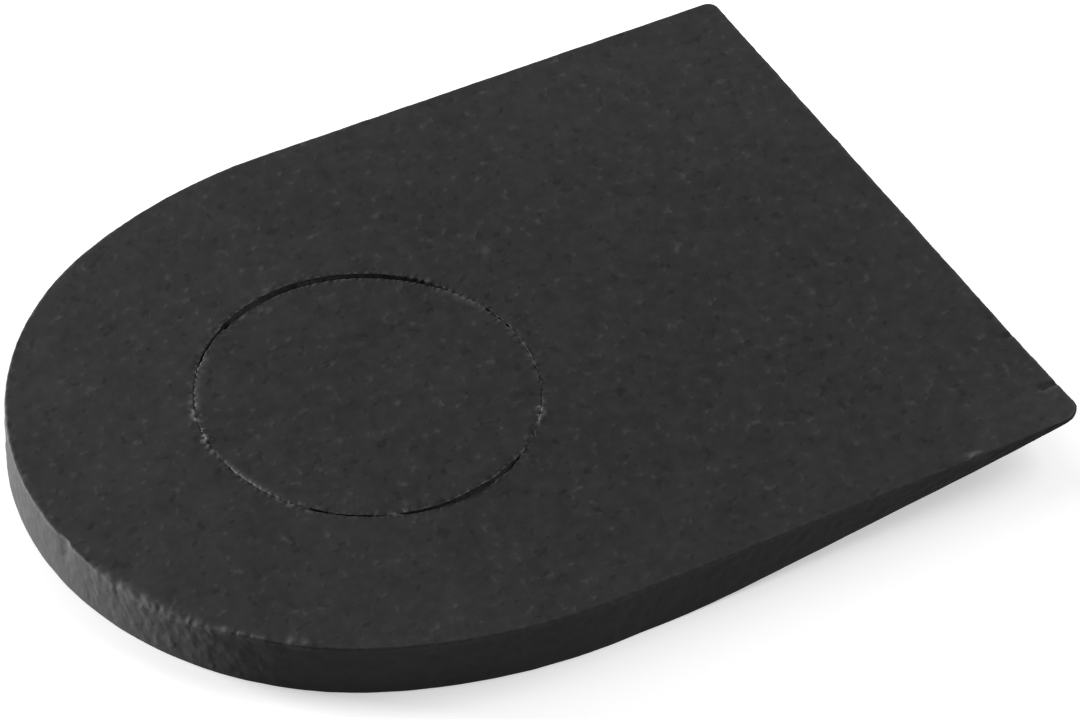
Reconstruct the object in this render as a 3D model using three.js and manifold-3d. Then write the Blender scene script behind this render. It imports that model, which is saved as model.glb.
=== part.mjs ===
// Heel wedge: a foam lift that lies under the heel in a shoe. It is cut from one sheet of closed-cell foam,
// round at the heel and straight across the front, skived underneath so that the front runs out thin, with a
// round plug cut through the heel and left in its seat.
// Millimetres, +Z up, +Y from the heel to the thin front edge. The origin is on the surface that the wedge
// lies on, under the middle of its length and width.

import * as THREE from "three";
import { mergeVertices } from "three/addons/utils/BufferGeometryUtils.js";
import Module from "manifold-3d";

// Driving dimensions of the sheet and its outline, with distances along the length taken from the heel's tip
const LENGTH = 90.2;
const THICKNESS = 5.5;
const HEEL_RADIUS = 32.2; // of the round back
const HEEL_SWEEP = THREE.MathUtils.degToRad(66.7); // that the round back turns through on each side
const SIDE_RADIUS = 52.2; // of the flatter arc that leads from the round back into the straight side
const SIDE_TOE_IN = THREE.MathUtils.degToRad(0.5); // of the straight sides, towards each other at the front
const CORNER_RADIUS = 1.0; // at the two ends of the front edge

// Driving dimensions of the skive, which thins the front from below
const SKIVE_START = 49.8;
const SKIVE_EASE = 4.8; // length on each side of the start over which the knife turns into its slope
const FRONT_LIP = 0.2; // thickness left at the front edge

// Driving dimensions of the plug
const CUT_DIAMETER = 32.0; // of the knife's circle
const CUT_WIDTH = 0.3; // open slit that the knife leaves
const PLUG_FROM_HEEL = 33.4;

// How finely round stretches are divided
const ARC_STEPS = 28;
const EASE_STEPS = 8;
const CIRCLE_STEPS = 96;
const CUT_MARGIN = 2; // by which a cutter reaches past what it cuts

const HEEL_Y = -LENGTH / 2;
const FRONT_Y = LENGTH / 2;

const foam = () => new THREE.MeshStandardMaterial({ color: 0x323233, roughness: 0.9, metalness: 0 });

const wasm = await Module();
wasm.setup();

// A closed three.js geometry as a solid that can be cut.
function solidFrom(geometry) {
  const bare = geometry.clone();
  bare.deleteAttribute("normal");
  bare.deleteAttribute("uv");
  const merged = mergeVertices(bare, 1e-4);
  return new wasm.Manifold(
    new wasm.Mesh({
      numProp: 3,
      vertProperties: new Float32Array(merged.attributes.position.array),
      triVerts: new Uint32Array(merged.index.array),
    }),
  );
}

// A solid as a named mesh with flat-shaded faces.
function meshFrom(name, solid) {
  const { vertProperties, triVerts } = solid.getMesh();
  const geometry = new THREE.BufferGeometry();
  geometry.setAttribute("position", new THREE.BufferAttribute(vertProperties, 3));
  geometry.setIndex(new THREE.BufferAttribute(triVerts, 1));
  const mesh = new THREE.Mesh(geometry.toNonIndexed(), foam());
  mesh.geometry.computeVertexNormals();
  mesh.name = name;
  return mesh;
}

// Where each arc of the right-hand half begins and ends, from the heel's tip round to the front.
function halfOutline() {
  const heelCentre = new THREE.Vector2(0, HEEL_Y + HEEL_RADIUS);
  const outwards = new THREE.Vector2(Math.sin(HEEL_SWEEP), -Math.cos(HEEL_SWEEP));
  const sideCentre = heelCentre.clone().addScaledVector(outwards, HEEL_RADIUS - SIDE_RADIUS);
  const sideNormal = new THREE.Vector2(Math.cos(SIDE_TOE_IN), Math.sin(SIDE_TOE_IN));
  const sideStart = sideCentre.clone().addScaledVector(sideNormal, SIDE_RADIUS);
  const cornerY = FRONT_Y - CORNER_RADIUS;
  const run = (cornerY - sideStart.y + CORNER_RADIUS * sideNormal.y) / sideNormal.x;
  const sideEnd = new THREE.Vector2(sideStart.x - run * sideNormal.y, sideStart.y + run * sideNormal.x);
  const cornerCentre = sideEnd.clone().addScaledVector(sideNormal, -CORNER_RADIUS);
  return { heelCentre, sideCentre, cornerCentre };
}

// The plan of the wedge, seen from above, running anticlockwise from the right-hand end of the round back.
function planShape() {
  const { heelCentre, sideCentre, cornerCentre } = halfOutline();
  const quarter = Math.PI / 2;
  const half = Math.PI;
  const heelEnd = HEEL_SWEEP - quarter;
  const plan = new THREE.Shape();
  plan.absarc(sideCentre.x, sideCentre.y, SIDE_RADIUS, heelEnd, SIDE_TOE_IN);
  plan.absarc(cornerCentre.x, cornerCentre.y, CORNER_RADIUS, SIDE_TOE_IN, quarter);
  plan.absarc(-cornerCentre.x, cornerCentre.y, CORNER_RADIUS, quarter, half - SIDE_TOE_IN);
  plan.absarc(-sideCentre.x, sideCentre.y, SIDE_RADIUS, half - SIDE_TOE_IN, half - heelEnd);
  plan.absarc(heelCentre.x, heelCentre.y, HEEL_RADIUS, half - heelEnd, 2 * half + heelEnd);
  return plan;
}

// The side view of the wedge: level on top, level under the heel, then up along the skive to the front lip.
function sideShape() {
  const start = HEEL_Y + SKIVE_START;
  const rise = (THICKNESS - FRONT_LIP) / (FRONT_Y - start);
  const frontEnd = FRONT_Y + CUT_MARGIN;
  const side = new THREE.Shape();
  side.moveTo(HEEL_Y - CUT_MARGIN, 0);
  side.lineTo(start - SKIVE_EASE, 0);
  side.quadraticCurveTo(start, 0, start + SKIVE_EASE, rise * SKIVE_EASE);
  side.lineTo(frontEnd, rise * (frontEnd - start));
  side.lineTo(frontEnd, THICKNESS + CUT_MARGIN);
  side.lineTo(HEEL_Y - CUT_MARGIN, THICKNESS + CUT_MARGIN);
  side.closePath();
  return side;
}

// The space above the skiving knife's path, the full width of the wedge.
function aboveKnife() {
  const reach = HEEL_RADIUS + SIDE_RADIUS;
  const profile = new THREE.ExtrudeGeometry(sideShape(), {
    depth: 2 * reach,
    bevelEnabled: false,
    curveSegments: EASE_STEPS,
  });
  // The side view is drawn along X and up Y, so it is turned to stand along Y and up Z.
  const turn = new THREE.Matrix4().makeBasis(
    new THREE.Vector3(0, 1, 0),
    new THREE.Vector3(0, 0, 1),
    new THREE.Vector3(1, 0, 0),
  );
  profile.applyMatrix4(turn);
  profile.translate(-reach, 0, 0);
  return solidFrom(profile);
}

// An upright disc on the plug's axis.
function disc(radius, bottom, top) {
  const geometry = new THREE.CylinderGeometry(radius, radius, top - bottom, CIRCLE_STEPS);
  geometry.rotateX(Math.PI / 2);
  geometry.translate(0, HEEL_Y + PLUG_FROM_HEEL, (top + bottom) / 2);
  return solidFrom(geometry);
}

const blank = solidFrom(
  new THREE.ExtrudeGeometry(planShape(), {
    depth: THICKNESS,
    bevelEnabled: false,
    curveSegments: ARC_STEPS,
  }),
);
const kept = aboveKnife();
const seat = disc((CUT_DIAMETER + CUT_WIDTH) / 2, -CUT_MARGIN, THICKNESS + CUT_MARGIN);
const plug = disc((CUT_DIAMETER - CUT_WIDTH) / 2, 0, THICKNESS);

const heelWedge = new THREE.Group();
heelWedge.add(
  meshFrom("wedge_body", blank.intersect(kept).subtract(seat)),
  meshFrom("heel_plug", plug.intersect(kept)),
);

export default heelWedge;
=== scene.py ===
import math

import bpy
import numpy as np
from mathutils import Matrix, Vector


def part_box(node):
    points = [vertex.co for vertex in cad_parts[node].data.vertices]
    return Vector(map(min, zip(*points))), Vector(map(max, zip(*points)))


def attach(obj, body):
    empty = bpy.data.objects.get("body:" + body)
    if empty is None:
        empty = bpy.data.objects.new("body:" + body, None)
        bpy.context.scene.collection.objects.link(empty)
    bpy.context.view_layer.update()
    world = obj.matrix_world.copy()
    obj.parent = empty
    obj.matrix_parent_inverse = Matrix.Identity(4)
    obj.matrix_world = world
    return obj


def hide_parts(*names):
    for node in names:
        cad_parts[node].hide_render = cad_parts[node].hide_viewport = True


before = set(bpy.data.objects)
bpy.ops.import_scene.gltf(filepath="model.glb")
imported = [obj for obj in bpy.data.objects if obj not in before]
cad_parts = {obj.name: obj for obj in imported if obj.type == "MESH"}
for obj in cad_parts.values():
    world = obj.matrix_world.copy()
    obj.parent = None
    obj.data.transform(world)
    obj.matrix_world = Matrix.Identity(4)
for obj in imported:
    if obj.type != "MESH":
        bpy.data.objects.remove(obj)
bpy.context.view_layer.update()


# Wedge body
# A U-shaped blank die-cut from a sheet of black closed-cell foam, thinned from below by a skiving knife
# until its front runs out to a feather edge, with the plug's seat cut through the heel by a round knife.
# The knives tear the foam's cells open, so each cut edge is ragged and crumbs of foam stand up along it.

mm = 0.001
body_low, body_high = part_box("wedge_body")
plug_low, plug_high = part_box("heel_plug")
sheet_thickness = body_high.z
heel_y = body_low.y
front_y = body_high.y

heel_radius = 32.2 * mm
heel_sweep = math.radians(66.7)
side_radius = 52.2 * mm
side_toe_in = math.radians(0.5)
corner_radius = 1.0 * mm
worn_corner_radius = 2.0 * mm

skive_start = heel_y + 49.8 * mm
skive_ease = 4.8 * mm
front_lip = 0.2 * mm
skive_rise = (sheet_thickness - front_lip) / (front_y - skive_start)

cut_centre = np.array([0.0, (plug_low.y + plug_high.y) / 2])
cut_radius = 16.0 * mm
hairline = 0.006 * mm
slit_depth = 1.4 * mm
slit_close = 0.7
blunt_end = 0.3
slit_pale_depth = 3.0 * mm
lip_depth = 0.2 * mm

# Stretches where the round cut stands open: the middle and half of their sweep in degrees, and their width.
open_stretches = [
    {"middle": 97, "half": 1.2, "width": 0.22 * mm},
    {"middle": 101, "half": 1.0, "width": 0.20 * mm},
    {"middle": 107, "half": 1.4, "width": 0.22 * mm},
    {"middle": 166, "half": 43, "width": 0.62 * mm},
    {"middle": 190, "half": 19, "width": 0.14 * mm},
    {"middle": 209, "half": 3, "width": 0.34 * mm},
    {"middle": 220, "half": 9, "width": 0.20 * mm},
    {"middle": 316, "half": 4, "width": 0.22 * mm},
    {"middle": 329, "half": 8, "width": 0.16 * mm},
    {"middle": 7, "half": 25, "width": 0.44 * mm},
    {"middle": 9, "half": 7, "width": 0.16 * mm},
    {"middle": 24, "half": 4, "width": 0.14 * mm},
]

# Stretches of the round cut where crumbs stand up out of it, with how much.
crumb_stretches = [
    {"middle": 259, "half": 18, "amount": 1.0},
    {"middle": 309, "half": 11, "amount": 0.6},
    {"middle": 342, "half": 4, "amount": 0.6},
    {"middle": 53, "half": 8, "amount": 0.7},
    {"middle": 86, "half": 20, "amount": 0.25},
]

# Stretches of the outer rim that the die tore, with how much.
torn_stretches = [
    {"middle": 255, "half": 32, "amount": 0.15},
    {"middle": 297, "half": 16, "amount": 0.4},
]

# Stretches of the slit's two walls painted paler, with how much: partly cells that the knife tore open,
# partly painted fill light in a slit that the lamps barely reach.
seat_torn_and_painted_light = [
    {"middle": 157, "half": 19, "amount": 0.75},
    {"middle": 190, "half": 14, "amount": 0.25},
]
plug_torn_and_painted_light = [
    {"middle": 7, "half": 42, "amount": 0.25},
    {"middle": 318, "half": 36, "amount": 0.16},
]

cut_tear = 0.4
cut_reach = 0.5 * mm
rim_tear = 0.13
rim_reach = 0.7 * mm
torn_reach = 0.8 * mm
underside_tear = 0.1
crumb_reach = 0.6 * mm
rim_crumbs = 0.08
# How much the outer rim's rounding is painted paler, a painted light on a rounding that the lamps leave in
# shade, and how far in that reaches.
rim_painted_light = 0.06
rim_painted_light_reach = 0.35 * mm

# The stretch of the outer rim that is rubbed round, with how much of the full rounding it has.
rubbed_stretches = [{"middle": 296, "half": 14, "amount": 1.0}]
rubbed_round = 0.9 * mm
squeezed_radii = 3

die_round = 0.18 * mm
underside_round = 0.05 * mm
knife_round = 0.03 * mm
rim_turns = np.radians([30, 60, 90])
arc_points = 300
outer_columns = 1536
face_columns = 384
face_rows = 16
face_inset = 2.4 * mm
outer_wall_rows = 20
seat_wall_rows = 9
fine_wall = 1.0 * mm
row_crowding = 1.4

# Rows of points beside a rim: how much coarser than it they are, and how far in from it in millimetres.
top_rows = [(1, 0.0), (1, 0.09), (1, 0.20), (1, 0.38), (2, 0.66), (2, 1.10), (2, 1.70)]
underside_rows = [(2, 0.0), (2, 0.40), (2, 1.10)]


def swell(angle, stretch):
    """1 in the middle of a stretch of plan angles and 0 from its ends on."""
    off = np.abs((np.degrees(angle) - stretch["middle"] + 180) % 360 - 180)
    return np.cos(np.clip(off / stretch["half"], 0, 1) * math.pi / 2)


def along(stretches, key, angle, power=1.0):
    """The sum of what each stretch gives under a key at plan angles; a power below 1 blunts their ends."""
    return sum(stretch[key] * swell(angle, stretch) ** power for stretch in stretches)


def slit_width(angle, height):
    """Width of the round knife's slit at plan angles; it closes below the top face."""
    below = min(1, (sheet_thickness - height) / slit_depth)
    return (hairline + along(open_stretches, "width", angle, blunt_end)) * (1 - slit_close * below)


def slit_paleness(height):
    """How pale the slit's walls are: partly torn cells, partly painted fill light; not at its lips, most just
    below them, less further down.
    """
    below = sheet_thickness - height
    return min(1, below / lip_depth) * max(0, 1 - below / slit_pale_depth)


def arc(centre, radius, start, end):
    """Close points along an arc, without its last one."""
    angle = np.linspace(start, end, arc_points, endpoint=False)
    return np.asarray(centre) + radius * np.column_stack([np.cos(angle), np.sin(angle)])


def blank_outline(count):
    """The die's outline as evenly spaced points, anticlockwise from the right-hand end of the round heel."""
    heel_end = heel_sweep - math.pi / 2
    heel_centre = np.array([0, heel_y + heel_radius])
    outwards = np.array([math.cos(heel_end), math.sin(heel_end)])
    side_centre = heel_centre + (heel_radius - side_radius) * outwards
    side_normal = np.array([math.cos(side_toe_in), math.sin(side_toe_in)])
    side_along = np.array([-side_normal[1], side_normal[0]])
    mirror = np.array([-1, 1])

    def corner_centre(radius):
        line = side_centre + (side_radius - radius) * side_normal
        return line + side_along * (front_y - radius - line[1]) / side_along[1]

    loop = np.vstack([
        arc(side_centre, side_radius, heel_end, side_toe_in),
        arc(corner_centre(worn_corner_radius), worn_corner_radius, side_toe_in, math.pi / 2),
        arc(corner_centre(corner_radius) * mirror, corner_radius, math.pi / 2, math.pi - side_toe_in),
        arc(side_centre * mirror, side_radius, math.pi - side_toe_in, math.pi - heel_end),
        arc(heel_centre, heel_radius, math.pi - heel_end, 2 * math.pi + heel_end),
    ])
    closed = np.vstack([loop, loop[:1]])
    length = np.concatenate([[0], np.cumsum(np.linalg.norm(np.diff(closed, axis=0), axis=1))])
    at = np.linspace(0, length[-1], count, endpoint=False)
    return np.column_stack([np.interp(at, length, closed[:, axis]) for axis in (0, 1)])


def wall_rows(rows, top_round):
    """Insets and heights down a cut wall between its two rounded rims, closer together at the top."""
    bend = [(1 - math.sin(turn), 1 - math.cos(turn)) for turn in rim_turns]
    upper = [(top_round * inset, sheet_thickness - top_round * drop) for inset, drop in bend]
    lower = [(underside_round * inset, underside_round * rise) for inset, rise in bend[::-1]]
    share = 1 - np.linspace(0, 1, rows + 2)[1:-1] ** row_crowding
    straight = sheet_thickness - top_round - underside_round
    return upper + [(0, underside_round + step * straight) for step in share] + lower


def rolled(inset, height, radius):
    """How far a rounded edge of the top face drops; the wall just below it is squeezed down too."""
    over = max(0, 1 - inset / radius)
    down = max(0, 1 - (sheet_thickness - height) / (squeezed_radii * radius))
    return radius * (1 - math.sqrt(1 - over ** 2)) * down


def edge_ring(plan, height, inset, outwards, cut_wall, tear, reach, crumbs, lift=0.0, pale=0.0):
    """A ring of points with what the knife did there: the tear and its way and the crumbs, and its paleness,
    partly painted light.
    """
    count = len(plan)
    side = 1 if height > sheet_thickness / 2 else -1
    depth = max(inset, sheet_thickness - height if side > 0 else height)
    torn = tear * (1 - crumbs) * np.clip(1 - depth / reach, 0, 1) * (1 if side > 0 else underside_tear)
    crumbled = crumbs * max(0, 1 - depth / crumb_reach) * max(0, side)
    return {
        "points": np.column_stack([plan, np.broadcast_to(height + lift, count)]),
        "edge_way": np.column_stack([outwards, np.full(count, side)]) / math.sqrt(2),
        "cut_wall": np.full(count, cut_wall),
        "tear": np.broadcast_to(torn, count),
        "crumbs": np.broadcast_to(crumbled, count),
        "pale": np.broadcast_to(pale, count),
    }


def faces_between(first, second):
    """Faces that join two rings of point numbers, where either ring may have twice the other's points."""
    first_next = np.roll(first, -1)
    second_next = np.roll(second, -1)
    if len(first) == len(second):
        corners = [(first, second, second_next, first_next)]
    elif len(first) > len(second):
        even, odd, even_next = first[0::2], first[1::2], first_next[1::2]
        corners = [(even, second, odd), (odd, second, second_next), (odd, second_next, even_next)]
    else:
        even, odd, even_next = second[0::2], second[1::2], second_next[1::2]
        corners = [(first, even, odd), (first, odd, first_next), (first_next, odd, even_next)]
    return [face for corner in corners for face in np.column_stack(corner).tolist()]


def ring_mesh(name, rings, looped):
    """A closed mesh over rings of points that run anticlockwise from above: the last ring joins the first, or
    both of them close over the middle."""
    counts = [len(ring["points"]) for ring in rings]
    together = {key: np.concatenate([ring[key] for ring in rings]) for key in rings[0]}
    numbers = np.split(np.arange(sum(counts)), np.cumsum(counts)[:-1])
    faces = [face for pair in zip(numbers, numbers[1:]) for face in faces_between(*pair)]
    if looped:
        faces += faces_between(numbers[-1], numbers[0])
    else:
        faces += [numbers[0].tolist(), numbers[-1][::-1].tolist()]
    mesh = bpy.data.meshes.new(name)
    mesh.from_pydata(together.pop("points").tolist(), [], faces)
    for key, values in together.items():
        if values.ndim == 2:
            mesh.attributes.new(key, "FLOAT_VECTOR", "POINT").data.foreach_set("vector", values.ravel())
        else:
            mesh.attributes.new(key, "FLOAT", "POINT").data.foreach_set("value", values)
    mesh.shade_smooth()
    return mesh


def body_rings():
    """Rings of the flat blank: out over its top, down its wall, in along its underside and up the seat."""
    outline = blank_outline(outer_columns)
    rings = []

    def add(columns, mix, inset, height, cut_wall):
        ray = outline[:: outer_columns // columns] - cut_centre
        angle = np.arctan2(ray[:, 1], ray[:, 0])
        reach = np.linalg.norm(ray, axis=1)
        outwards = ray / reach[:, None]
        seat = cut_radius + slit_width(angle, height) / 2
        radius = (1 - mix) * (seat + inset) + mix * (reach - inset)
        plan = cut_centre + outwards * radius[:, None]
        if mix == 0:
            crumbs = along(crumb_stretches, "amount", angle)
            # Painted fill light and torn cells make the seat's wall in the slit paler.
            pale = cut_wall * slit_paleness(height) * along(seat_torn_and_painted_light, "amount", angle, blunt_end)
            rings.append(
                edge_ring(plan, height, inset, -outwards, cut_wall, cut_tear, cut_reach, crumbs, pale=pale)
            )
        else:
            torn = along(torn_stretches, "amount", angle)
            tear, far = rim_tear + torn, rim_reach + torn_reach * torn
            drop = along(rubbed_stretches, "amount", angle) * rolled(inset, height, rubbed_round)
            # Painted light: the rounded rim is painted paler near its edge, where the lamps leave it in
            # shade.
            pale = rim_painted_light * max(0, 1 - max(inset, sheet_thickness - height) / rim_painted_light_reach)
            rings.append(
                edge_ring(plan, height, inset, outwards, cut_wall, tear, far, rim_crumbs, -drop, pale)
            )

    def face(height, rim_rows, outwards):
        rows = [(outer_columns // coarser, 0, knife_round + inset * mm) for coarser, inset in rim_rows]
        rows += [(face_columns, mix, die_round + face_inset) for mix in np.linspace(0, 1, face_rows)]
        rows += [(outer_columns // coarser, 1, die_round + inset * mm) for coarser, inset in rim_rows[::-1]]
        for columns, mix, inset in rows if outwards else rows[::-1]:
            add(columns, mix, inset, height, 0.0)

    face(sheet_thickness, top_rows, outwards=True)
    for inset, height in wall_rows(outer_wall_rows, die_round):
        add(outer_columns, 1, inset, height, 1.0)
    face(0.0, underside_rows, outwards=False)
    for inset, height in wall_rows(seat_wall_rows, knife_round)[::-1]:
        coarser = 1 if height > sheet_thickness - fine_wall else 2
        add(outer_columns // coarser, 0, inset, height, 1.0)
    return rings


class Wire:
    """A node socket that takes part in Python arithmetic, each operation adding its Math node."""

    def __init__(self, tree, socket=None):
        self.tree = tree
        self.socket = socket

    def node(self, kind, settings=(), sockets=(), output=0):
        """Adds a node, with its settings made first, then the values or links of its sockets."""
        made = self.tree.nodes.new(kind)
        for name, value in dict(settings).items():
            setattr(made, name, value)
        for key, value in dict(sockets).items():
            if isinstance(value, Wire):
                self.tree.links.new(value.socket, made.inputs[key])
            else:
                made.inputs[key].default_value = value
        return Wire(self.tree, made.outputs[output]) if made.outputs else made

    def math(self, operation, first, second):
        return self.node("ShaderNodeMath", {"operation": operation}, {0: first, 1: second})

    def __add__(self, other):
        return self.math("ADD", self, other)

    def __radd__(self, other):
        return self.math("ADD", other, self)

    def __sub__(self, other):
        return self.math("SUBTRACT", self, other)

    def __rsub__(self, other):
        return self.math("SUBTRACT", other, self)

    def __mul__(self, other):
        return self.math("MULTIPLY", self, other)

    def __truediv__(self, other):
        return self.math("DIVIDE", self, other)

    def __rtruediv__(self, other):
        return self.math("DIVIDE", other, self)

    def above(self, other):
        return self.math("MAXIMUM", self, other)

    def below(self, other):
        return self.math("MINIMUM", self, other)

    def step(self, low, high):
        """A smooth step from 0 at low to 1 at high."""
        sockets = {"Value": self, "From Min": low, "From Max": high}
        return self.node("ShaderNodeMapRange", {"interpolation_type": "SMOOTHSTEP"}, sockets)

    def noise(self, scale, detail=1.0, seed=0.0):
        """Soft noise about 0.5 over this position."""
        sockets = {"Vector": self, "W": seed, "Scale": scale, "Detail": detail}
        return self.node("ShaderNodeTexNoise", {"noise_dimensions": "4D"}, sockets)

    def scaled(self, amount):
        """This vector times an amount."""
        return self.node("ShaderNodeVectorMath", {"operation": "SCALE"}, {0: self, "Scale": amount})

    def moved(self, other):
        """This vector with another one added."""
        return self.node("ShaderNodeVectorMath", {"operation": "ADD"}, {0: self, 1: other})


# How the noises are read: their middle, where a chip and a crumb begin and are whole, how much paler torn
# edges are, partly torn cells and partly painted light in chips left in shade, how much crumbs are painted
# paler as a painted highlight, how fast the face sways beside the walls, and how quickly dents grow in from
# the rims.
noise_middle = 0.5
chip_step = (0.56, 0.66)
crumb_step = (0.50, 0.62)
torn_paler_and_painted_light = 0.5
crumbs_painted_highlight = 0.7
face_sway_rate = 0.3
dent_fade = 6


def knife_tree():
    """Geometry nodes that tear a flat blank's cut edges, dent its cut walls and then skive it from below."""
    tree = bpy.data.node_groups.new("skive_and_tear", "GeometryNodeTree")
    tree.interface.new_socket("Blank", in_out="INPUT", socket_type="NodeSocketGeometry")
    sizes = (
        "Thickness", "Skive Start", "Skive Ease", "Skive Rise",
        "Chip Depth", "Chip Size", "Nibble Depth", "Nibble Size", "Crumb Rise", "Crumb Size", "Tear Seed",
        "Dent Depth", "Dent Size", "Wall Sway", "Face Sway", "Sway Size", "Sway Seed",
    )
    for name in sizes:
        tree.interface.new_socket(name, in_out="INPUT", socket_type="NodeSocketFloat")
    tree.interface.new_socket("Foam", in_out="INPUT", socket_type="NodeSocketMaterial")
    tree.interface.new_socket("Cut Foam", in_out="OUTPUT", socket_type="NodeSocketGeometry")
    start = Wire(tree)
    asked = {socket.name: Wire(tree, socket) for socket in tree.nodes.new("NodeGroupInput").outputs}
    place = start.node("GeometryNodeInputPosition")
    normal = start.node("GeometryNodeInputNormal")
    tear, crumbs, pale, cut_wall = (
        start.node("GeometryNodeInputNamedAttribute", {"data_type": "FLOAT"}, {"Name": name})
        for name in ("tear", "crumbs", "pale", "cut_wall")
    )
    edge_way = start.node(
        "GeometryNodeInputNamedAttribute", {"data_type": "FLOAT_VECTOR"}, {"Name": "edge_way"}
    )
    sideways = start.node("ShaderNodeSeparateXYZ", (), {"Vector": place})
    split = sideways.socket.node
    forwards, height = Wire(tree, split.outputs["Y"]), Wire(tree, split.outputs["Z"])

    chips = place.noise(1 / asked["Chip Size"], seed=asked["Tear Seed"]).step(*chip_step)
    nibble = place.noise(1 / asked["Nibble Size"], seed=asked["Tear Seed"]) - noise_middle
    beads = place.noise(1 / asked["Crumb Size"], detail=0.0, seed=asked["Sway Seed"]).step(*crumb_step)
    dents = place.noise(1 / asked["Dent Size"], detail=2.0, seed=asked["Sway Seed"]) - noise_middle
    wave = place.noise(1 / asked["Sway Size"], detail=2.0, seed=asked["Sway Seed"]) - noise_middle
    slow = place.noise(face_sway_rate / asked["Sway Size"], seed=asked["Sway Seed"]) - noise_middle
    # Paleness: torn edges, partly painted light, painted highlights on crumbs, and the pale attribute, which
    # holds painted light.
    paler = tear * nibble.above(0) * torn_paler_and_painted_light + crumbs * beads * crumbs_painted_highlight + pale
    stored = start.node(
        "GeometryNodeStoreNamedAttribute",
        {"data_type": "FLOAT", "domain": "POINT"},
        {"Geometry": asked["Blank"], "Name": "torn_cells_and_painted_light", "Value": paler},
    )
    share = height / asked["Thickness"]
    dented = dents * asked["Dent Depth"] * (share * (1 - share) * dent_fade).below(1)
    wall_push = cut_wall * (wave * asked["Wall Sway"] + dented)
    push = normal.scaled(wall_push + (1 - cut_wall) * slow * asked["Face Sway"])
    ragged = edge_way.scaled(tear * (nibble * asked["Nibble Depth"] - chips * asked["Chip Depth"]))
    raised = start.node("ShaderNodeCombineXYZ", (), {"Z": crumbs * beads * asked["Crumb Rise"]})
    offset = push.moved(ragged).moved(raised)
    torn_blank = start.node("GeometryNodeSetPosition", (), {"Geometry": stored, "Offset": offset})

    past = forwards - asked["Skive Start"]
    eased = ((past + asked["Skive Ease"]) / (asked["Skive Ease"] * 2)).above(0).below(1)
    ramp = (past - asked["Skive Ease"]).above(0)
    underside = asked["Skive Rise"] * (asked["Skive Ease"] * eased * eased + ramp)
    kept = 1 - underside / asked["Thickness"]
    skived = asked["Thickness"] - (asked["Thickness"] - height) * kept
    lifted = start.node("ShaderNodeCombineXYZ", (), {"X": sideways, "Y": forwards, "Z": skived})
    cut = start.node("GeometryNodeSetPosition", (), {"Geometry": torn_blank, "Position": lifted})

    plain = start.node("GeometryNodeRealizeInstances", (), {"Geometry": cut})
    finished = start.node("GeometryNodeSetMaterial", (), {"Geometry": plain, "Material": asked["Foam"]})
    start.node("NodeGroupOutput", (), {"Cut Foam": finished})
    return tree


def grown(name, mesh, tree, values):
    """The plain object that a geometry node tree makes of a mesh, with the tree's inputs set by name."""
    seed_object = bpy.data.objects.new(name + "_blank", mesh)
    bpy.context.scene.collection.objects.link(seed_object)
    modifier = seed_object.modifiers.new("nodes", "NODES")
    modifier.node_group = tree
    for item in tree.interface.items_tree:
        if item.in_out == "INPUT" and item.name in values:
            modifier[item.identifier] = values[item.name]
    bpy.context.view_layer.update()
    evaluated = seed_object.evaluated_get(bpy.context.evaluated_depsgraph_get())
    made = bpy.data.meshes.new_from_object(evaluated)
    bpy.data.objects.remove(seed_object)
    piece = bpy.data.objects.new(name, made)
    bpy.context.scene.collection.objects.link(piece)
    return piece


# The skin lies between two greys. Cells, pits, mottle and clouds of these sizes vary its tone and relief by
# these amounts. A cut wall keeps a share of their tone and has a stronger relief.
skin_dark = (0.0104, 0.0104, 0.0105, 1)
skin_pale = (0.0484, 0.0484, 0.0490, 1)
skin_tone = 0.32
foam_sizes = {"cells": 1.15 * mm, "pits": 1.05 * mm, "mottle": 2.0 * mm, "clouds": 9.0 * mm}
foam_tones = {"cells": 0.40, "pits": 0.16, "mottle": 0.40, "clouds": 0.16, "flecks": 0.31}
foam_relief = {"cells": 0.6, "pits": 0.3, "flecks": 0.4}
fleck_step = (0.60, 0.78)
pit_step = (0.26, 0.42)
wall_tone = 0.15
wall_relief = 1.8
relief_strength = 0.4
relief_depth = 0.07 * mm
foam_roughness = 0.7
cell_roughness = 0.2
foam_gloss = 0.1

# The face is painted paler towards its rims, a painted light falloff away from its middle. Torn cells are
# paler than the sheet's skin, and painted highlights and painted fill light share their grey.
painted_light_middle = Vector((10.2, 6.3, 5.5)) * mm
painted_light_reach = 130 * mm
# The pale grey that torn cells are mixed towards, which also carries painted highlights and painted fill
# light.
torn_and_painted_light_grey = (0.17, 0.17, 0.17, 1)


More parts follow.
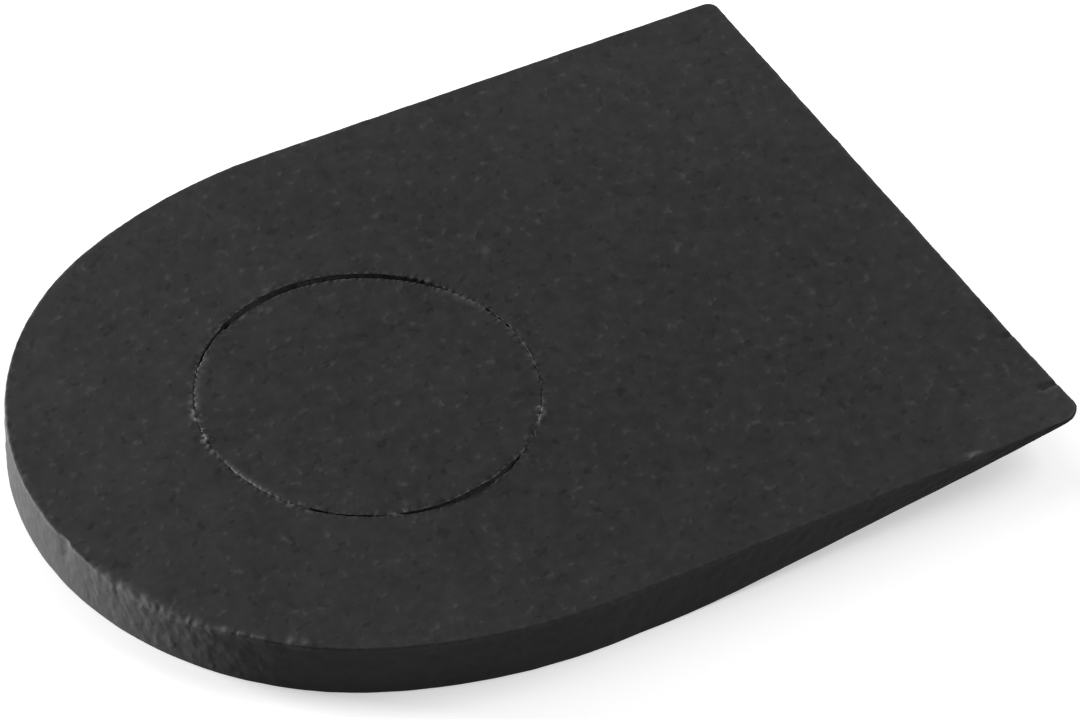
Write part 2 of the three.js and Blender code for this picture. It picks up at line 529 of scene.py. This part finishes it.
def foam_material(name):
    """Black closed-cell foam: a fine mottle, pale flecks and dark pits, plainer and deeper on cut walls."""
    material = bpy.data.materials.new(name)
    material.use_nodes = True
    tree = material.node_tree
    tree.nodes.clear()
    start = Wire(tree)
    place = start.node("ShaderNodeTexCoord", output="Object")
    cut_wall = start.node("ShaderNodeAttribute", {"attribute_name": "cut_wall"}, output="Fac")
    torn = start.node("ShaderNodeAttribute", {"attribute_name": "torn_cells_and_painted_light"}, output="Fac")

    cells = place.noise(1 / foam_sizes["cells"], detail=1.5)
    pores = place.noise(1 / foam_sizes["pits"], detail=1.5, seed=7.0)
    mottle = place.noise(1 / foam_sizes["mottle"], detail=2.0, seed=3.0) - noise_middle
    clouds = place.noise(1 / foam_sizes["clouds"], detail=2.0) - noise_middle
    flecks = cells.step(*fleck_step)
    pits = 1 - pores.step(*pit_step)
    face = 1 - cut_wall
    away = start.node(
        "ShaderNodeVectorMath", {"operation": "DISTANCE"}, {0: place, 1: painted_light_middle}, output="Value"
    )
    # Painted light: the face grows paler with the square of its distance from its middle.
    painted_rim_light = away * away / painted_light_reach ** 2

    grain = (
        (cells - noise_middle) * foam_tones["cells"]
        + mottle * foam_tones["mottle"]
        + flecks * foam_tones["flecks"]
        - pits * foam_tones["pits"]
    )
    shown = face * (1 - wall_tone) + wall_tone
    tone = skin_tone + grain * shown + clouds * foam_tones["clouds"] + face * painted_rim_light
    mixed = {"data_type": "RGBA"}
    skin = start.node("ShaderNodeMix", mixed, {0: tone, 6: skin_dark, 7: skin_pale}, output=2)
    # Torn cells, painted highlights and painted fill light mix the skin towards the pale grey.
    colour = start.node("ShaderNodeMix", mixed, {0: torn, 6: skin, 7: torn_and_painted_light_grey}, output=2)
    bumps = cells * foam_relief["cells"] + flecks * foam_relief["flecks"] - pits * foam_relief["pits"]
    height = bumps * (1 + cut_wall * wall_relief)
    relief = start.node(
        "ShaderNodeBump", (), {"Strength": relief_strength, "Distance": relief_depth, "Height": height}
    )
    shader = start.node(
        "ShaderNodeBsdfPrincipled",
        (),
        {
            "Base Color": colour,
            "Roughness": foam_roughness + cells * cell_roughness,
            "Specular IOR Level": foam_gloss,
            "Normal": relief,
        },
    )
    start.node("ShaderNodeOutputMaterial", (), {"Surface": shader})
    return material


knives = knife_tree()
knife_values = {
    "Thickness": sheet_thickness,
    "Skive Start": skive_start,
    "Skive Ease": skive_ease,
    "Skive Rise": skive_rise,
    "Chip Depth": 0.10 * mm,
    "Chip Size": 0.9 * mm,
    "Nibble Depth": 0.55 * mm,
    "Nibble Size": 0.5 * mm,
    "Crumb Rise": 0.07 * mm,
    "Crumb Size": 0.6 * mm,
    "Tear Seed": 3.0,
    "Dent Depth": 0.33 * mm,
    "Dent Size": 1.2 * mm,
    "Wall Sway": 0.11 * mm,
    "Face Sway": 0.16 * mm,
    "Sway Size": 2.7 * mm,
    "Sway Seed": 3.0,
}
body_foam = foam_material("body_foam")
wedge_body = grown(
    "foam_wedge",
    ring_mesh("wedge_blank", body_rings(), looped=True),
    knives,
    {**knife_values, "Foam": body_foam},
)

# Marks on the finished face, as a ridge or groove from one plan point to another, in millimetres: a lip and
# a flap that the die lifted along the right-hand rim, a burr near the front, and two nicks in the front edge.
face_marks = [
    {"from": (20.6, -37.2), "to": (21.1, -36.8), "width": 0.30, "rise": 0.06, "out": 0.05, "pale": 0.12},
    {"from": (21.6, -36.4), "to": (22.0, -36.0), "width": 0.24, "rise": 0.06, "out": 0.05, "pale": 0.18},
    {"from": (22.5, -35.5), "to": (23.3, -34.7), "width": 0.22, "rise": 0.05, "out": 0.05, "pale": 0.12},
    {"from": (24.8, -32.6), "to": (25.5, -31.8), "width": 0.55, "rise": 0.08, "out": 0.12, "pale": 0.05},
    {"from": (24.6, -32.7), "to": (24.7, -32.5), "width": 0.26, "rise": 0.03, "out": 0.0, "pale": 0.09},
    {"from": (25.4, -31.7), "to": (25.6, -31.5), "width": 0.32, "rise": 0.03, "out": 0.0, "pale": 0.10},
    {"from": (33.2, 33.2), "to": (33.3, 34.0), "width": 0.35, "rise": 0.14, "out": 0.0, "pale": 0.1},
    {"from": (28.7, 42.9), "to": (28.7, 45.2), "width": 0.30, "rise": -0.12, "out": 0.0, "pale": 0.0},
    {"from": (21.1, 44.4), "to": (21.1, 45.2), "width": 0.28, "rise": -0.08, "out": 0.0, "pale": 0.0},
]

# Bites that the die took out of the heel's rim, in millimetres: their plan point, half their length, how far
# in they go and how far down the wall.
rim_bites = [
    {"at": (4.1, -44.8), "half": 0.80, "in": 0.26, "down": 2.2},
    {"at": (9.4, -43.7), "half": 0.35, "in": 0.09, "down": 0.8},
    {"at": (11.0, -43.2), "half": 0.40, "in": 0.17, "down": 0.5},
    {"at": (13.4, -42.2), "half": 0.50, "in": 0.07, "down": 1.0},
    {"at": (17.6, -39.8), "half": 0.40, "in": 0.17, "down": 0.5},
]
bite_reach = 0.55
mark_depth = 0.7 * mm
mark_full = 0.2 * mm
mark_steepness = 4
curled_corner = np.array([33.3, 45.1]) * mm
curl_reach = 14.0 * mm
curl_rise = 0.38 * mm


def mark_face(mesh):
    """Lifts or lowers the top face along each mark, presses the bites in and curls the nicked corner."""
    points = np.empty(len(mesh.vertices) * 3)
    mesh.vertices.foreach_get("co", points)
    points = points.reshape(-1, 3)
    torn = np.empty(len(points))
    mesh.attributes["torn_cells_and_painted_light"].data.foreach_get("value", torn)
    plan = points[:, :2] / mm
    below = sheet_thickness - points[:, 2]
    on_top = np.clip((mark_depth - below) / (mark_depth - mark_full), 0, 1)
    outwards = points[:, :2] - cut_centre
    outwards /= np.linalg.norm(outwards, axis=1)[:, None]
    for mark in face_marks:
        start, way = np.array(mark["from"]), np.array(mark["to"]) - np.array(mark["from"])
        share = np.clip((plan - start) @ way / (way @ way), 0, 1)
        off = np.linalg.norm(plan - start - share[:, None] * way, axis=1)
        near = np.exp(-((off / mark["width"]) ** mark_steepness)) * on_top
        points[:, 2] += mark["rise"] * mm * near
        points[:, :2] += outwards * (mark["out"] * mm * near)[:, None]
        torn += mark["pale"] * near
    for bite in rim_bites:
        inwards = cut_centre / mm - np.array(bite["at"])
        inwards /= np.linalg.norm(inwards)
        off = plan - np.array(bite["at"])
        sideways = off @ np.array([-inwards[1], inwards[0]]) / bite["half"]
        deep = off @ inwards / bite_reach
        down = below / (bite["down"] * mm)
        bitten = bite["in"] * mm * np.exp(-(sideways ** 2) - deep ** 2 - down ** 2)
        points[:, :2] += inwards * bitten[:, None]
    from_corner = np.linalg.norm(points[:, :2] - curled_corner, axis=1)
    points[:, 2] += curl_rise * np.clip(1 - from_corner / curl_reach, 0, 1) ** 2
    mesh.vertices.foreach_set("co", points.ravel())
    mesh.attributes["torn_cells_and_painted_light"].data.foreach_set("value", torn)
    mesh.update()


mark_face(wedge_body.data)
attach(wedge_body, "root")
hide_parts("wedge_body")


# Heel plug
# The disc of the same foam sheet that the round knife cut free, pushed back into its seat and held there by
# its squeeze. It stands a little proud on one side, where its torn and rolled shoulder catches the light,
# and a painted highlight makes that shoulder and two other stretches of it paler.

plug_columns = 1536

# Rows of points over the plug's middle: how much coarser than its rim, and their radius in millimetres.
middle_rows = [
    (4, 13.4), (4, 12.0), (8, 10.5), (8, 9.0), (8, 7.5),
    (16, 6.0), (16, 4.5), (32, 3.0), (64, 1.5), (128, 0.5),
]

# Stretches of the plug's shoulder: how far they stand above the body's face, how rolled, and how pale, partly
# torn cells and partly a painted highlight where the shoulder catches the light.
shoulder_lifts = [
    {"middle": 240, "half": 18, "rise": 0.0, "roll": 0.12, "pale": 0.24},
    {"middle": 288, "half": 16, "rise": 0.10 * mm, "roll": 0.6, "pale": 0.3},
    {"middle": 118, "half": 11, "rise": -0.02 * mm, "roll": 0.0, "pale": 0.25},
]
shoulder_power = 24
shoulder_round = 0.36 * mm
pale_reach = 0.8 * mm


def plug_rings():
    """Rings of the flat disc: out over its top, down its wall and in along its underside."""
    rings = []

    def add(columns, share, inset, height, cut_wall):
        angle = np.linspace(0, 2 * math.pi, columns, endpoint=False)
        outwards = np.column_stack([np.cos(angle), np.sin(angle)])
        radius = (cut_radius - slit_width(angle, height) / 2) * share - inset
        plan = cut_centre + outwards * radius[:, None]
        from_edge = cut_radius * (1 - share) + inset
        raised = along(shoulder_lifts, "rise", angle) * (radius / cut_radius) ** shoulder_power
        lift = raised * height / sheet_thickness
        lift -= along(shoulder_lifts, "roll", angle) * rolled(from_edge, height, shoulder_round)
        near = max(0, 1 - max(from_edge, sheet_thickness - height) / pale_reach)
        # Painted highlight and torn cells make the shoulder paler near its edge.
        pale = along(shoulder_lifts, "pale", angle) * near
        # Painted fill light and torn cells make the plug's wall in the slit paler.
        pale += cut_wall * slit_paleness(height) * along(plug_torn_and_painted_light, "amount", angle)
        crumbs = along(crumb_stretches, "amount", angle)
        rings.append(
            edge_ring(plan, height, from_edge, outwards, cut_wall, cut_tear, cut_reach, crumbs, lift, pale)
        )

    def face(height, rim_rows, outwards):
        rows = [
            (plug_columns // coarser, radius * mm / cut_radius, 0) for coarser, radius in middle_rows[::-1]
        ]
        rows += [(plug_columns // coarser, 1, knife_round + inset * mm) for coarser, inset in rim_rows[::-1]]
        for columns, share, inset in rows if outwards else rows[::-1]:
            add(columns, share, inset, height, 0.0)

    face(sheet_thickness, top_rows, outwards=True)
    for inset, height in wall_rows(seat_wall_rows, knife_round):
        coarser = 1 if height > sheet_thickness - fine_wall else 2
        add(plug_columns // coarser, 1, inset, height, 1.0)
    face(0.0, underside_rows, outwards=False)
    return rings


# The plug's wall follows its seat's, so its sway and dents are turned round. Its edge is torn by itself.
plug_values = {
    "Tear Seed": 5.0,
    "Wall Sway": -knife_values["Wall Sway"],
    "Dent Depth": -knife_values["Dent Depth"],
}
plug_foam = foam_material("plug_foam")
heel_plug = grown(
    "foam_plug",
    ring_mesh("plug_blank", plug_rings(), looped=False),
    knives,
    {**knife_values, **plug_values, "Foam": plug_foam},
)
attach(heel_plug, "root")
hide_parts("heel_plug")


# Floor and light
# A plain white table that glows a little, lit by a strong soft box that stands low on the heel's left and by
# two larger and weaker ones above the front and the left, in a room that adds a little light from all sides.

floor_half = 4.0
floor_drop = 0.05 * mm
table_white = (0.75, 0.75, 0.75, 1)
table_glow = 0.49
room_glow = 0.11
glow_white = (1, 1, 1, 1)
square = [(-1, -1), (1, -1), (1, 1), (-1, 1)]
floor_mesh = bpy.data.meshes.new("floor")
floor_mesh.from_pydata(
    [(x * floor_half, y * floor_half, -floor_drop) for x, y in square], [], [(0, 1, 2, 3)]
)
floor = bpy.data.objects.new("floor", floor_mesh)
bpy.context.scene.collection.objects.link(floor)
floor_paint = bpy.data.materials.new("white_table")
floor_paint.use_nodes = True
floor_shader = floor_paint.node_tree.nodes["Principled BSDF"]
floor_shader.inputs["Base Color"].default_value = table_white
floor_shader.inputs["Roughness"].default_value = 1.0
floor_shader.inputs["Specular IOR Level"].default_value = 0.0
floor_shader.inputs["Emission Color"].default_value = glow_white
floor_shader.inputs["Emission Strength"].default_value = table_glow
floor_mesh.materials.append(floor_paint)

# Soft boxes: where they stand, in degrees round from the heel and up, how far away, their size and power.
soft_boxes = [
    {"name": "heel_side", "round": -46, "up": 3.7, "away": 0.7, "width": 0.28, "height": 0.09, "power": 29.0},
    {"name": "front_fill", "round": 172, "up": 44, "away": 0.9, "width": 0.6, "height": 0.6, "power": 5.6},
    {"name": "left_fill", "round": -90, "up": 50, "away": 0.9, "width": 0.6, "height": 0.6, "power": 2.2},
]
for box in soft_boxes:
    lamp = bpy.data.lights.new(box["name"], "AREA")
    lamp.shape = "RECTANGLE"
    lamp.size = box["width"]
    lamp.size_y = box["height"]
    lamp.energy = box["power"]
    lamp_object = bpy.data.objects.new(box["name"], lamp)
    turn, lift = math.radians(box["round"]), math.radians(box["up"])
    aim = Vector((math.sin(turn) * math.cos(lift), -math.cos(turn) * math.cos(lift), math.sin(lift)))
    lamp_object.location = aim * box["away"]
    lamp_object.rotation_mode = "QUATERNION"
    lamp_object.rotation_quaternion = aim.to_track_quat("Z", "Y")
    lamp_object.visible_camera = False
    bpy.context.scene.collection.objects.link(lamp_object)

room = bpy.data.worlds.new("room")
room.use_nodes = True
background = room.node_tree.nodes["Background"]
background.inputs["Color"].default_value = glow_white
background.inputs["Strength"].default_value = room_glow
bpy.context.scene.world = room
bpy.context.scene.view_settings.view_transform = "Standard"


# Camera
# A long lens looking down on the wedge from its right-hand side, solved from the outline in the photograph.

camera_round = math.radians(58.76)
camera_up = math.radians(43.20)
camera_roll = math.radians(2.27)
camera_distance = 588.5 * mm
camera_target = Vector((-1.56, 7.59, 0)) * mm
camera_data = bpy.data.cameras.new("camera")
camera_data.sensor_width = 36.0
camera_data.lens = 209.2
camera_data.clip_start = 0.01
camera = bpy.data.objects.new("camera", camera_data)
backwards = Vector((
    math.sin(camera_round) * math.cos(camera_up),
    -math.cos(camera_round) * math.cos(camera_up),
    math.sin(camera_up),
))
level = Vector((math.cos(camera_round), math.sin(camera_round), 0))
upright = backwards.cross(level)
across = math.cos(camera_roll) * level + math.sin(camera_roll) * upright
upwards = backwards.cross(across)
camera.matrix_world = (
    Matrix.Translation(camera_target + backwards * camera_distance)
    @ Matrix((across, upwards, backwards)).transposed().to_4x4()
)
bpy.context.scene.collection.objects.link(camera)
bpy.context.scene.camera = camera
